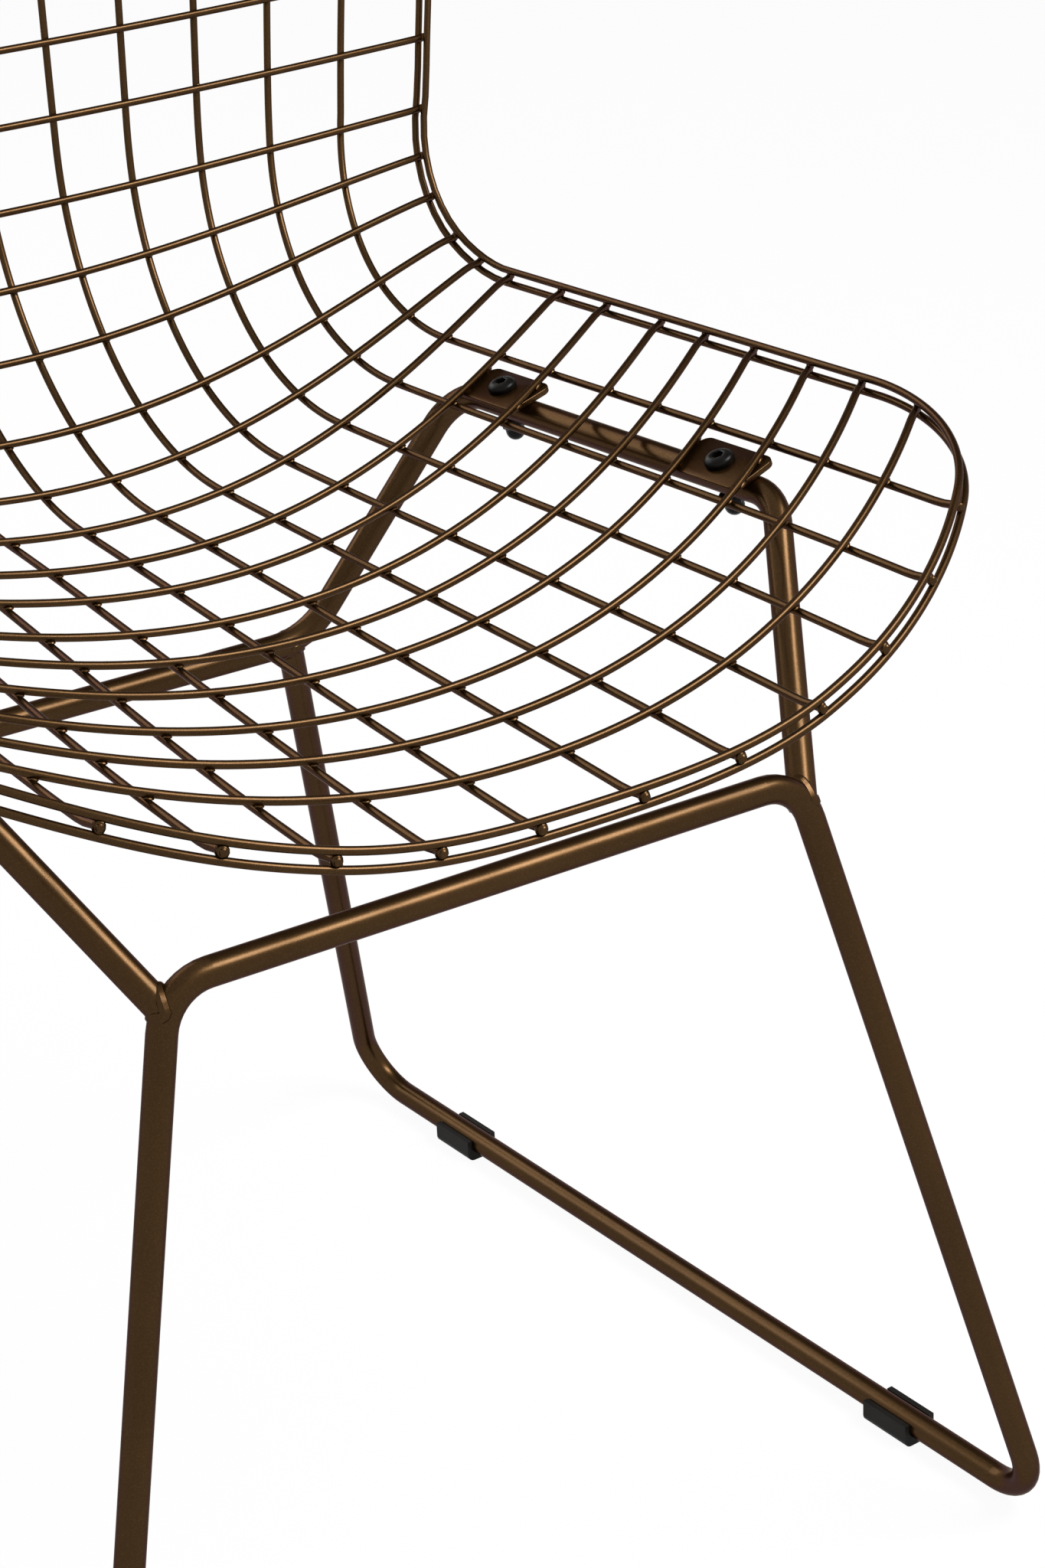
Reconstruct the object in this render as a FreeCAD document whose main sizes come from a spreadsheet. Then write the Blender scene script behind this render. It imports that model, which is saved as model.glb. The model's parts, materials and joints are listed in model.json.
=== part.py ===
import FreeCAD
import Part
import math
import os
from FreeCAD import Rotation, Vector

# Wire mesh chair: a net of welded wires held between two rim wires, screwed to a base
# that is bent from two steel rods and stands on four clip-on feet.
# X points to the right seen from the front, -Y to the front and Z up. The origin lies on
# the floor, under the middle of the chair's outline. Lengths are in millimetres.

SIZES = [
    ("origin_setback", -56.7, "moves the chair front to back, so that the origin is under its middle"),
    ("wire_diameter", 3.6, "mesh wires"),
    ("rim_diameter", 3.6, "both rim wires"),
    ("weld_gap", 0.15, "clearance between wires that are welded to each other"),
    ("wire_end_overhang", 0.6, "how far a mesh wire's end stands out of the rim"),
    ("wire_end_blend", 14.0, "length over which a mesh wire's end comes between the rim wires"),
    ("long_wire_count", 12, "wires from the front edge to the top edge"),
    ("long_wire_pitch", 41.0, "spacing of the long wires"),
    ("long_wire_spread", 10.8, "extra distance of the outermost long wire from the middle"),
    ("cross_wire_count", 18, "wires from side to side"),
    ("first_cross_wire", 3.0, "station of the first cross wire"),
    ("seat_pitch", 40.4, "spacing of the cross wires on the seat"),
    ("bend_pitch", 43.4, "spacing of the cross wires in the bend"),
    ("back_pitch", 36.3, "spacing of the cross wires on the back"),
    ("last_seat_wire", 8, "number of the last cross wire of the seat"),
    ("last_bend_wire", 12, "number of the last cross wire of the bend"),
    ("cross_wire_3_shift", -2.3, "hand-laid wire, distance from its even place"),
    ("cross_wire_5_shift", -2.1, "hand-laid wire, distance from its even place"),
    ("cross_wire_6_shift", -6.2, "hand-laid wire, distance from its even place"),
    ("cross_wire_9_shift", 3.8, "hand-laid wire, distance from its even place"),
    ("cross_wire_10_shift", 4.9, "hand-laid wire, distance from its even place"),
    ("cross_wire_13_shift", -1.8, "hand-laid wire, distance from its even place"),
    ("cross_wire_14_shift", -2.6, "hand-laid wire, distance from its even place"),
    ("side_profile_across", 225.5, "how far from the middle the side profile is given"),
    ("middle_start_y", -190.0, "middle profile, station 0, front to back"),
    ("middle_start_height", 442.5, "middle profile, station 0, over the floor"),
    ("middle_seat_slope", 1.2, "middle profile, degrees"),
    ("middle_bend_start", 343.5, "middle profile, station"),
    ("middle_bend_end", 555.5, "middle profile, station"),
    ("middle_bend_radius", 157.0, "middle profile"),
    ("middle_back_slope", 83.3, "middle profile, degrees"),
    ("side_start_y", -140.0, "side profile, station 0, front to back"),
    ("side_start_height", 491.0, "side profile, station 0, over the floor"),
    ("side_seat_slope", -1.5, "side profile, degrees"),
    ("side_bend_start", 336.5, "side profile, station"),
    ("side_bend_end", 539.0, "side profile, station"),
    ("side_bend_radius", 116.0, "side profile"),
    ("side_back_slope", 78.0, "side profile, degrees"),
    ("dish_flattening", 0.28, "how much the rise from the middle to the side eases off"),
    ("width_mean", 1.028, "stretch of the net from side to side"),
    ("width_swing", 0.134, "how much the stretch swings between the front and the waist"),
    ("waist_station", 401.0, "where the net is stretched least"),
    ("width_half_wave", 442.0, "from the waist to the widest place"),
    ("front_fan", 0.196, "how much the outer meshes close up towards the front corners"),
    ("rim_front", 55.4, "front edge, before station 0"),
    ("rim_front_dip", 9.0, "how far the front edge draws back in the middle"),
    ("rim_dip_half", 105.0, "half width of that dip"),
    ("rim_seat_half", 304.8, "half width of the rim at the seat"),
    ("rim_back_draw", 14.7, "how far each side of the rim draws in at the back"),
    ("rim_draw_start", 340.0, "station where the rim starts to draw in"),
    ("rim_draw_end", 540.0, "station where the rim has drawn in"),
    ("rim_top", 734.0, "top edge, station"),
    ("front_sweep_start", 123.0, "where the front edge starts to curve back"),
    ("front_sweep_radius", 560.0, "curve of the front edge"),
    ("front_corner_radius", 78.5, "front corners"),
    ("top_corner_radius", 150.0, "top corners"),
    ("rod_diameter", 12.7, "both rods of the base"),
    ("weld_clearance", 0.15, "between the hollowed end of a rod and the rod it is welded to"),
    ("front_bar_half", 150.5, "front crossbar, to the corner of its bend"),
    ("front_bar_y", -166.2, "front crossbar"),
    ("front_bar_height", 378.2, "front crossbar over the runners"),
    ("runner_front_half", 244.0, "runners, to the corner of the front bend"),
    ("runner_front_y", -223.6, "runners, to the corner of the front bend"),
    ("runner_rear_half", 208.1, "runners, to the corner of the rear bend"),
    ("runner_rear_y", 325.5, "runners, to the corner of the rear bend"),
    ("rear_bar_half", 104.2, "rear crossbar, to the corner of its bend"),
    ("rear_bar_y", 170.7, "rear crossbar"),
    ("rear_bar_height", 348.4, "rear crossbar over the runners"),
    ("rail_front_y", -77.0, "seat rails, to the corner of the front bend"),
    ("rail_rear_y", 161.1, "seat rails, to the corner of the rear bend"),
    ("floor_bend_radius", 25.0, "bends of the runners"),
    ("front_bar_bend_radius", 24.0, "bends of the front crossbar"),
    ("rear_bar_bend_radius", 40.0, "bends of the rear crossbar"),
    ("rail_bend_radius", 25.0, "bends of the seat rails"),
    ("strut_foot_share", 0.75, "place of the front strut's foot along the bend it stands on"),
    ("leg_top_share", 0.25, "place of the rear leg's top along the bend it carries"),
    ("plate_across", 211.5, "brackets, from the net's middle"),
    ("plate_front_wire", 3, "the front brackets hang under this cross wire and the next"),
    ("plate_rear_wire", 7, "the rear brackets hang under this cross wire and the next"),
    ("plate_thickness", 3.0, "brackets"),
    ("plate_width", 26.0, "brackets, across the rail"),
    ("plate_overhang", 0.5, "brackets, beyond their two cross wires"),
    ("plate_corner_radius", 5.0, "brackets"),
    ("seat_clearance", 0.1, "between wire and bracket, bracket and rail, screw head and bracket"),
    ("screw_diameter", 6.0, "screws"),
    ("screw_hole_diameter", 6.4, "holes in brackets and rails"),
    ("screw_head_diameter", 14.0, "domed heads"),
    ("screw_head_height", 4.2, "domed heads"),
    ("screw_head_edge", 1.2, "domed heads, straight edge under the dome"),
    ("socket_size", 5.0, "hexagon sockets, across flats"),
    ("socket_depth", 2.4, "hexagon sockets"),
    ("nut_size", 10.0, "cap nuts, across flats"),
    ("nut_hexagon_height", 5.0, "cap nuts"),
    ("nut_dome_diameter", 9.4, "cap nuts"),
    ("nut_height", 12.0, "cap nuts with their dome"),
    ("nut_bore_depth", 9.0, "cap nuts"),
    ("nut_bore_diameter", 6.3, "cap nuts, clears the screw"),
    ("screw_end_gap", 1.0, "between the screw's end and the bottom of the nut's bore"),
    ("foot_length", 30.0, "feet, along the runner"),
    ("foot_wall", 3.0, "feet, side walls"),
    ("foot_floor", 3.0, "feet, under the rod"),
    ("foot_height", 12.6, "feet, height of the side walls"),
    ("foot_edge_radius", 4.5, "feet, lower edges"),
    ("foot_clearance", 0.1, "between rod and foot"),
    ("front_foot_reach", 97.0, "front feet, behind the corner of the runner"),
    ("rear_foot_reach", 95.0, "rear feet, before the corner of the runner"),
]
RUN_TOLERANCE = 0.75

document = FreeCAD.newDocument("wire_mesh_chair")
sheet = document.addObject("Spreadsheet::Sheet", "sizes")
for row, (alias, value, note) in enumerate(SIZES, start=1):
    sheet.set("A%d" % row, alias)
    sheet.set("B%d" % row, str(value))
    sheet.set("C%d" % row, note)
    sheet.setAlias("B%d" % row, alias)
document.recompute()
size = {alias: float(sheet.get(alias)) for alias, value, note in SIZES}
nodes = []


# The net's middle surface, between its two layers of wires. A place on it is given by the
# distance across from the middle and the station, the length along the net from the front.

def profile_point(name, station):
    """Front-to-back place and height on the middle or side profile."""
    seat_slope = math.radians(size[name + "_seat_slope"])
    back_slope = math.radians(size[name + "_back_slope"])
    bend_start = size[name + "_bend_start"]
    bend_end = size[name + "_bend_end"]
    radius = size[name + "_bend_radius"]
    seat_run = min(station, bend_start)
    back_run = max(station - bend_end, 0)
    bend_share = min(max((station - bend_start) / (bend_end - bend_start), 0), 1)
    slope = seat_slope + bend_share * (back_slope - seat_slope)
    y = size[name + "_start_y"] + seat_run * math.cos(seat_slope) + back_run * math.cos(back_slope)
    y += radius * (math.sin(slope) - math.sin(seat_slope))
    z = size[name + "_start_height"] + seat_run * math.sin(seat_slope) + back_run * math.sin(back_slope)
    z += radius * (math.cos(seat_slope) - math.cos(slope))
    return y, z


def net_point(across, station):
    """Point of the net's middle surface."""
    middle_y, middle_z = profile_point("middle", station)
    side_y, side_z = profile_point("side", station)
    share = abs(across) / size["side_profile_across"]
    wave = math.cos(math.pi * (station - size["waist_station"]) / size["width_half_wave"])
    stretch = size["width_mean"] - size["width_swing"] * wave
    if station < size["waist_station"]:
        stretch -= size["front_fan"] * (1 - wave) / 2 * share
    rise = (1 + size["dish_flattening"]) * share ** 2 - size["dish_flattening"] * share ** 4
    y = middle_y + (side_y - middle_y) * share ** 2
    z = middle_z + (side_z - middle_z) * rise
    return Vector(across * stretch, y, z)


def net_normal(across, station):
    """Normal of the net, upwards on the seat and forwards on the back."""
    reach = 1.0
    along = net_point(across, station + reach) - net_point(across, station - reach)
    sideways = net_point(across + reach, station) - net_point(across - reach, station)
    return sideways.cross(along).normalize()


def layer_point(across, station, offset):
    return net_point(across, station) + net_normal(across, station) * offset


# Paths. Mesh wires and rims are drawn as short straight runs with eight flat sides, and the
# rods of the base as straight runs with tangent bends.

def run_points(curve, first, last):
    """Points along a curve after its first one, closer where it bends more."""
    middle = (first + last) / 2
    chord = curve(last) - curve(first)
    bulge = (curve(middle) - curve(first)).cross(chord).Length / chord.Length
    if bulge < RUN_TOLERANCE:
        return [curve(last)]
    return run_points(curve, first, middle) + run_points(curve, middle, last)


def curve_path(curve, stops):
    """Straight runs along a curve, with a corner at every stop."""
    points = [curve(stops[0])]
    for first, last in zip(stops, stops[1:]):
        points += run_points(curve, first, last)
    return points


def along_to_plane(point, direction, plane_point, plane_normal):
    """The point moved along a direction into a plane."""
    return point + direction * ((plane_point - point).dot(plane_normal) / direction.dot(plane_normal))


def eight_sided_wire(points, radius):
    """Solid of straight runs with eight flat sides, mitred where two runs meet; closed if its ends meet."""
    directions = [(end - start).normalize() for start, end in zip(points, points[1:])]
    closed = points[0].distanceToPoint(points[-1]) < 1e-6
    start_normal = directions[-1] + directions[0] if closed else directions[0]
    normals = [start_normal] + [one + other for one, other in zip(directions, directions[1:])] + [directions[-1]]
    sideways = directions[0].cross(Vector(0.3, 0.2, 0.9)).normalize()
    upwards = sideways.cross(directions[0])
    turns = [math.radians(45 * side + 22.5) for side in range(8)]
    ring = [points[0] + (sideways * math.cos(turn) + upwards * math.sin(turn)) * radius for turn in turns]
    rings = [[along_to_plane(corner, directions[0], points[0], start_normal) for corner in ring]]
    for point, direction, normal in zip(points[1:], directions, normals[1:]):
        rings.append([along_to_plane(corner, direction, point, normal) for corner in rings[-1]])
    if closed:
        rings[-1] = rings[0]
    faces = []
    for ring, following in zip(rings, rings[1:]):
        for side in range(8):
            corners = [ring[side - 1], ring[side], following[side], following[side - 1], ring[side - 1]]
            faces.append(Part.Face(Part.makePolygon(corners)))
    if not closed:
        faces += [Part.Face(Part.makePolygon(ring + [ring[0]])) for ring in (rings[0], rings[-1])]
    return Part.Solid(Part.Shell(faces))


def bend_arc(before, corner, after, radius):
    """Start, middle and end of the tangent arc that rounds a corner."""
    back = (before - corner).normalize()
    ahead = (after - corner).normalize()
    half_turn = (math.pi - back.getAngle(ahead)) / 2
    reach = radius * math.tan(half_turn)
    inward = (back + ahead).normalize()
    middle = corner + inward * (radius / math.cos(half_turn) - radius)
    return corner + back * reach, middle, corner + ahead * reach


def bent_path(corners, radii):
    """Straight runs between corners, each inner corner rounded with its radius."""
    edges = []
    run_start = corners[0]
    for index, radius in enumerate(radii, start=1):
        start, middle, end = bend_arc(corners[index - 1], corners[index], corners[index + 1], radius)
        edges.append(Part.LineSegment(run_start, start).toShape())
        edges.append(Part.Arc(start, middle, end).toShape())
        run_start = end
    edges.append(Part.LineSegment(run_start, corners[-1]).toShape())
    return Part.Wire(edges)


def point_on_bend(before, corner, after, radius, share):
    start, middle, end = bend_arc(before, corner, after, radius)
    arc = Part.Arc(start, middle, end).toShape()
    return arc.valueAt(arc.FirstParameter + share * (arc.LastParameter - arc.FirstParameter))


# Document objects

def add_rod(name, path, radius_expression):
    """Round rod: a circle swept along a path, with its radius from the sheet."""
    spine = document.addObject("Part::Feature", name + "_path")
    spine.Shape = path
    first = path.OrderedEdges[0]
    direction = first.tangentAt(first.FirstParameter)
    section = document.addObject("Part::Circle", name + "_section")
    section.setExpression("Radius", radius_expression)
    section.Placement = FreeCAD.Placement(path.OrderedVertexes[0].Point, Rotation(Vector(0, 0, 1), direction))
    rod = document.addObject("Part::Sweep", name)
    rod.Sections = [section]
    rod.Spine = (spine, [])
    rod.Solid = True
    rod.Frenet = False
    return rod


def add_wire(name, points, diameter):
    wire = document.addObject("Part::Feature", name)
    wire.Shape = eight_sided_wire(points, diameter / 2)
    finish_node(wire, name)


def add_cut(name, base, tool):
    cut = document.addObject("Part::Cut", name)
    cut.Base = base
    cut.Tool = tool
    return cut


def finish_node(node, name):
    """Name an object for the chair and put it in its place."""
    node.Label = name
    node.setExpression("Placement.Base.y", "sizes.origin_setback + %.9g" % node.Placement.Base.y)
    nodes.append(node)


def mirrored(point):
    return Vector(-point.x, point.y, point.z)


# The rim's outline on the flat net

def ease(share):
    share = min(max(share, 0), 1)
    return share * share * (3 - 2 * share)


BACK_HALF = size["rim_seat_half"] - size["rim_back_draw"]


def front_corner():
    """Turn of the front edge's curve, and the middle of the corner arc that follows it."""
    radius = size["front_corner_radius"]
    sweep = size["front_sweep_radius"]
    across = size["rim_seat_half"] - radius
    turn = math.asin((across - size["front_sweep_start"]) / (sweep - radius))
    station = -size["rim_front"] + sweep - (sweep - radius) * math.cos(turn)
    return turn, across, station


def front_station(across):
    """Station of the front edge."""
    across = abs(across)
    dip = size["rim_front_dip"] * (1 - ease(across / size["rim_dip_half"]))
    beyond = max(across - size["front_sweep_start"], 0)
    curve = size["front_sweep_radius"] - math.sqrt(size["front_sweep_radius"] ** 2 - beyond ** 2)
    return -size["rim_front"] + dip + curve


def top_station(across):
    """Station of the top edge."""
    radius = size["top_corner_radius"]
    beyond = max(abs(across) - (BACK_HALF - radius), 0)
    return size["rim_top"] - radius + math.sqrt(radius ** 2 - beyond ** 2)


def side_half(station):
    """Half width of the outline between the front and the top edge."""
    turn, corner_across, corner_station = front_corner()
    before_corner = corner_station - station
    if before_corner > size["front_corner_radius"] * math.cos(turn):
        sweep = size["front_sweep_radius"]
        curve = station + size["rim_front"]
        return size["front_sweep_start"] + math.sqrt(sweep ** 2 - (sweep - curve) ** 2)
    if before_corner > 0:
        return corner_across + math.sqrt(size["front_corner_radius"] ** 2 - before_corner ** 2)
    radius = size["top_corner_radius"]
    beyond = max(station - (size["rim_top"] - radius), 0)
    draw = ease((station - size["rim_draw_start"]) / (size["rim_draw_end"] - size["rim_draw_start"]))
    half = size["rim_seat_half"] + (BACK_HALF - size["rim_seat_half"]) * draw
    return half - radius + math.sqrt(radius ** 2 - beyond ** 2)


def half_outline(place):
    """Outline from the front middle (0) over the right side to the top middle (6)."""
    turn, corner_across, corner_station = front_corner()
    section = min(int(place), 5)
    share = place - section
    if section == 0:
        across = share * size["front_sweep_start"]
        return across, front_station(across)
    if section == 1:
        across = size["front_sweep_start"] + size["front_sweep_radius"] * math.sin(turn * share)
        return across, front_station(across)
    if section == 2:
        angle = turn + (math.pi / 2 - turn) * share
        radius = size["front_corner_radius"]
        return corner_across + radius * math.sin(angle), corner_station - radius * math.cos(angle)
    top_corner = size["rim_top"] - size["top_corner_radius"]
    if section == 3:
        station = corner_station + (top_corner - corner_station) * share
        return side_half(station), station
    if section == 4:
        angle = math.pi / 2 * share
        radius = size["top_corner_radius"]
        across = BACK_HALF - radius + radius * math.cos(angle)
        return across, top_corner + radius * math.sin(angle)
    return (BACK_HALF - size["top_corner_radius"]) * (1 - share), size["rim_top"]


def outline(place):
    """Whole outline, from 0 at the front middle round the right side to 12."""
    place = place % 12
    if place <= 6:
        return half_outline(place)
    across, station = half_outline(12 - place)
    return -across, station


# Mesh wires

LAYER = (size["wire_diameter"] + size["weld_gap"]) / 2
RIM_LAYER = (size["wire_diameter"] + size["rim_diameter"]) / 2 + size["weld_gap"]
END_REACH = size["rim_diameter"] / 2 + size["wire_end_overhang"]
BRACKET_WIRES = [int(size["plate_%s_wire" % end]) + step for end in ("front", "rear") for step in (0, 1)]


def long_wire_across(number):
    """Distance of a long wire from the net's middle; numbers run from left to right."""
    count = int(size["long_wire_count"])
    place = number - (count + 1) / 2
    outermost = (count - 1) / 2
    spread = size["long_wire_spread"] * (abs(place) / outermost) ** 4
    return size["long_wire_pitch"] * place + math.copysign(spread, place)


def cross_wire_station(number):
    last_seat_wire = int(size["last_seat_wire"])
    last_bend_wire = int(size["last_bend_wire"])
    station = size["first_cross_wire"] + size["seat_pitch"] * (min(number, last_seat_wire) - 1)
    station += size["bend_pitch"] * min(max(number - last_seat_wire, 0), last_bend_wire - last_seat_wire)
    station += size["back_pitch"] * max(number - last_bend_wire, 0)
    return station + size.get("cross_wire_%d_shift" % number, 0)


def end_blend(place, first, last):
    """1 along a wire's run, easing to 0 at its ends between the rim wires."""
    nearest = min(place - first, last - place)
    return ease((nearest - END_REACH) / size["wire_end_blend"])


def make_long_wire(number):
    across = long_wire_across(number)
    first = front_station(across) - END_REACH
    last = top_station(across) + END_REACH

    def curve(station):
        return layer_point(across, station, -LAYER * end_blend(station, first, last))

    crossings = [cross_wire_station(other) for other in range(1, int(size["cross_wire_count"]) + 1)]
    add_wire("long_wire_%02d" % number, curve_path(curve, wire_stops(first, last, crossings)),
             size["wire_diameter"])


def make_cross_wire(number):
    station = cross_wire_station(number)
    half = side_half(station) + END_REACH

    def curve(across):
        return layer_point(across, station, LAYER * end_blend(across, -half, half))

    crossings = [long_wire_across(other) for other in range(1, int(size["long_wire_count"]) + 1)]
    if number in BRACKET_WIRES:
        plates = (-size["plate_across"], size["plate_across"])
        crossings = sorted([place for place in crossings if clear_of(plates, place)] + list(plates))
    add_wire("cross_wire_%02d" % number, curve_path(curve, wire_stops(-half, half, crossings)),
             size["wire_diameter"])


def clear_of(plates, place):
    """True where a crossing lies more than a wire's width from every plate's middle."""
    return min(abs(place - plate) for plate in plates) > size["wire_diameter"]


def wire_stops(first, last, crossings):
    """A wire's ends, the rims and the blends beside them, and the wires that it crosses."""
    blend = END_REACH + size["wire_end_blend"]
    inner = [place for place in crossings if first + blend < place < last - blend]
    return [first, first + END_REACH, first + blend] + inner + [last - blend, last - END_REACH, last]


def outline_angle(across, station):
    """Direction of a place on the outline from the middle of the net, 0 at the front middle."""
    middle = (size["rim_top"] - size["rim_front"]) / 2
    return math.atan2(across, middle - station) % (2 * math.pi)


def outline_place(across, station):
    """Where on the outline a wire's end lies, found by halving."""
    wanted = outline_angle(across, station)
    low = 0.0
    high = 12.0
    for halving in range(40):
        middle = (low + high) / 2
        if outline_angle(*outline(middle)) < wanted:
            low = middle
        else:
            high = middle
    return low


def make_rim_wire(name, offset, stops):
    def curve(place):
        across, station = outline(place)
        return layer_point(across, station, offset)

    add_wire(name, curve_path(curve, stops), size["rim_diameter"])


wire_ends = []
for wire_number in range(1, int(size["long_wire_count"]) + 1):
    make_long_wire(wire_number)
    wire_across = long_wire_across(wire_number)
    wire_ends.append(outline_place(wire_across, front_station(wire_across)))
    wire_ends.append(outline_place(wire_across, top_station(wire_across)))
for wire_number in range(1, int(size["cross_wire_count"]) + 1):
    make_cross_wire(wire_number)
    wire_station = cross_wire_station(wire_number)
    wire_ends.append(outline_place(side_half(wire_station), wire_station))
    wire_ends.append(outline_place(-side_half(wire_station), wire_station))
rim_stops = [0.0] + sorted(wire_ends) + [12.0]
make_rim_wire("rim_wire_upper", RIM_LAYER, rim_stops)
make_rim_wire("rim_wire_lower", -RIM_LAYER, rim_stops)


# Base rods

ROD_RADIUS = size["rod_diameter"] / 2
RUNNER_HEIGHT = size["foot_floor"] + size["foot_clearance"] + ROD_RADIUS


def bracket_frame(front_wire):
    """Place on the net and the net's normal, midway between two cross wires."""
    station = (cross_wire_station(front_wire) + cross_wire_station(front_wire + 1)) / 2
    return net_point(size["plate_across"], station), net_normal(size["plate_across"], station)


PLATE_TOP = LAYER - size["wire_diameter"] / 2 - size["seat_clearance"]
RAIL_DEPTH = size["plate_thickness"] + size["seat_clearance"] + ROD_RADIUS - PLATE_TOP
front_place, front_normal = bracket_frame(int(size["plate_front_wire"]))
rear_place, rear_normal = bracket_frame(int(size["plate_rear_wire"]))
rail_front_seat = front_place - front_normal * RAIL_DEPTH
rail_rear_seat = rear_place - rear_normal * RAIL_DEPTH
rail_direction = (rail_front_seat - rail_rear_seat).normalize()


def rail_point(y):
    return rail_rear_seat + rail_direction * ((y - rail_rear_seat.y) / rail_direction.y)


front_bar = Vector(size["front_bar_half"], size["front_bar_y"], RUNNER_HEIGHT + size["front_bar_height"])
runner_front = Vector(size["runner_front_half"], size["runner_front_y"], RUNNER_HEIGHT)
runner_rear = Vector(size["runner_rear_half"], size["runner_rear_y"], RUNNER_HEIGHT)
rear_bar = Vector(size["rear_bar_half"], size["rear_bar_y"], RUNNER_HEIGHT + size["rear_bar_height"])
rail_front = rail_point(size["rail_front_y"])
rail_rear = rail_point(size["rail_rear_y"])
strut_foot = point_on_bend(mirrored(front_bar), front_bar, runner_front,
                           size["front_bar_bend_radius"], size["strut_foot_share"])
leg_top = point_on_bend(mirrored(rear_bar), rear_bar, rail_rear,
                        size["rear_bar_bend_radius"], size["leg_top_share"])


def symmetric_path(right_corners, right_radii):
    """Bent path over both sides, from the right-hand corners listed from the middle outwards."""
    corners = [mirrored(corner) for corner in reversed(right_corners)] + right_corners
    return bent_path(corners, list(reversed(right_radii)) + right_radii)


def add_hole(name, base, place, direction):
    """Screw hole through a rod, along a direction."""
    drill = document.addObject("Part::Cylinder", name)
    drill.setExpression("Radius", "sizes.screw_hole_diameter / 2")
    drill.setExpression("Height", "sizes.rod_diameter * 2")
    start = place - direction * size["rod_diameter"]
    drill.Placement = FreeCAD.Placement(start, Rotation(Vector(0, 0, 1), direction))
    return add_cut(name + "_cut", base, drill)


floor_bend = size["floor_bend_radius"]
front_arch_radius = size["front_bar_bend_radius"]
rear_arch_radius = size["rear_bar_bend_radius"]
cope = "sizes.rod_diameter / 2 + sizes.weld_clearance"

sled_path = symmetric_path([front_bar, runner_front, runner_rear, leg_top],
                           [front_arch_radius, floor_bend, floor_bend])
rear_arch = add_rod("rear_arch_hollow", symmetric_path([rear_bar, rail_rear], [rear_arch_radius]), cope)
sled = add_cut("sled_rod", add_rod("sled_bar", sled_path, "sizes.rod_diameter / 2"), rear_arch)
finish_node(sled, "sled_rod")

frame_path = symmetric_path([rear_bar, rail_rear, rail_front, strut_foot],
                            [rear_arch_radius, size["rail_bend_radius"], size["rail_bend_radius"]])
front_arch = add_rod("front_arch_hollow", symmetric_path([front_bar, runner_front], [front_arch_radius]), cope)
frame = add_cut("seat_frame_coped", add_rod("seat_frame_bar", frame_path, "sizes.rod_diameter / 2"), front_arch)


# Brackets, screws and nuts

def body_sketch(body, name, plane):
    sketch = body.newObject("Sketcher::SketchObject", name)
    origin = next(part for part in body.Origin.OriginFeatures if part.Role == plane)
    sketch.AttachmentSupport = [(origin, "")]
    sketch.MapMode = "FlatFace"
    return sketch


def draw_outline(sketch, corners):
    """Closed outline of straight lines."""
    for start, end in zip(corners, corners[1:] + corners[:1]):
        sketch.addGeometry(Part.LineSegment(Vector(*start, 0), Vector(*end, 0)), False)


def hexagon(across_flats):
    radius = across_flats / math.sqrt(3)
    return [(radius * math.cos(math.radians(60 * corner)), radius * math.sin(math.radians(60 * corner)))
            for corner in range(6)]


def make_bracket(name, length, placement):
    """Flat plate with rounded corners and a screw hole; its top lies in the local plane z = 0."""
    body = document.addObject("PartDesign::Body", name)
    outline_sketch = body_sketch(body, name + "_outline", "XY_Plane")
    half_width = size["plate_width"] / 2
    draw_outline(outline_sketch, [(-half_width, -length / 2), (half_width, -length / 2),
                                  (half_width, length / 2), (-half_width, length / 2)])
    hole_radius = size["screw_hole_diameter"] / 2
    outline_sketch.addGeometry(Part.Circle(Vector(0, 0, 0), Vector(0, 0, 1), hole_radius), False)
    plate = body.newObject("PartDesign::Pad", name + "_plate")
    plate.Profile = outline_sketch
    plate.setExpression("Length", "sizes.plate_thickness")
    plate.Reversed = True
    document.recompute()
    corners = body.newObject("PartDesign::Fillet", name + "_corners")
    upright = ["Edge%d" % number for number, edge in enumerate(plate.Shape.Edges, start=1)
               if edge.Curve.TypeId == "Part::GeomLine" and abs(edge.tangentAt(edge.FirstParameter).z) > 0.99]
    corners.Base = (plate, upright)
    corners.setExpression("Radius", "sizes.plate_corner_radius")
    body.Placement = placement
    finish_node(body, name)


def make_screw():
    """Domed socket screw; the head's underside lies in the local plane z = 0."""
    body = document.addObject("PartDesign::Body", "screw")
    half = body_sketch(body, "screw_half_section", "XZ_Plane")
    shank = size["screw_diameter"] / 2
    head = size["screw_head_diameter"] / 2
    edge = size["screw_head_edge"]
    top = size["screw_head_height"]
    end = -SCREW_LENGTH
    crown = size["socket_size"] * 0.7
    shoulder = (head * 0.85, edge + (top - edge) * 0.65)
    for start, finish in (((0, end), (shank, end)), ((shank, end), (shank, 0)), ((shank, 0), (head, 0)),
                          ((head, 0), (head, edge)), ((head, edge), shoulder), (shoulder, (crown, top)),
                          ((crown, top), (0, top)), ((0, top), (0, end))):
        half.addGeometry(Part.LineSegment(Vector(*start, 0), Vector(*finish, 0)), False)
    turned = body.newObject("PartDesign::Revolution", "screw_turned")
    turned.Profile = half
    turned.ReferenceAxis = (half, ["V_Axis"])
    turned.Angle = 360
    document.recompute()
    socket = body_sketch(body, "screw_socket_outline", "XY_Plane")
    socket.AttachmentOffset = FreeCAD.Placement(Vector(0, 0, top), Rotation())
    draw_outline(socket, hexagon(size["socket_size"]))
    pocket = body.newObject("PartDesign::Pocket", "screw_socket")
    pocket.Profile = socket
    pocket.setExpression("Length", "sizes.socket_depth")
    return body


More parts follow.
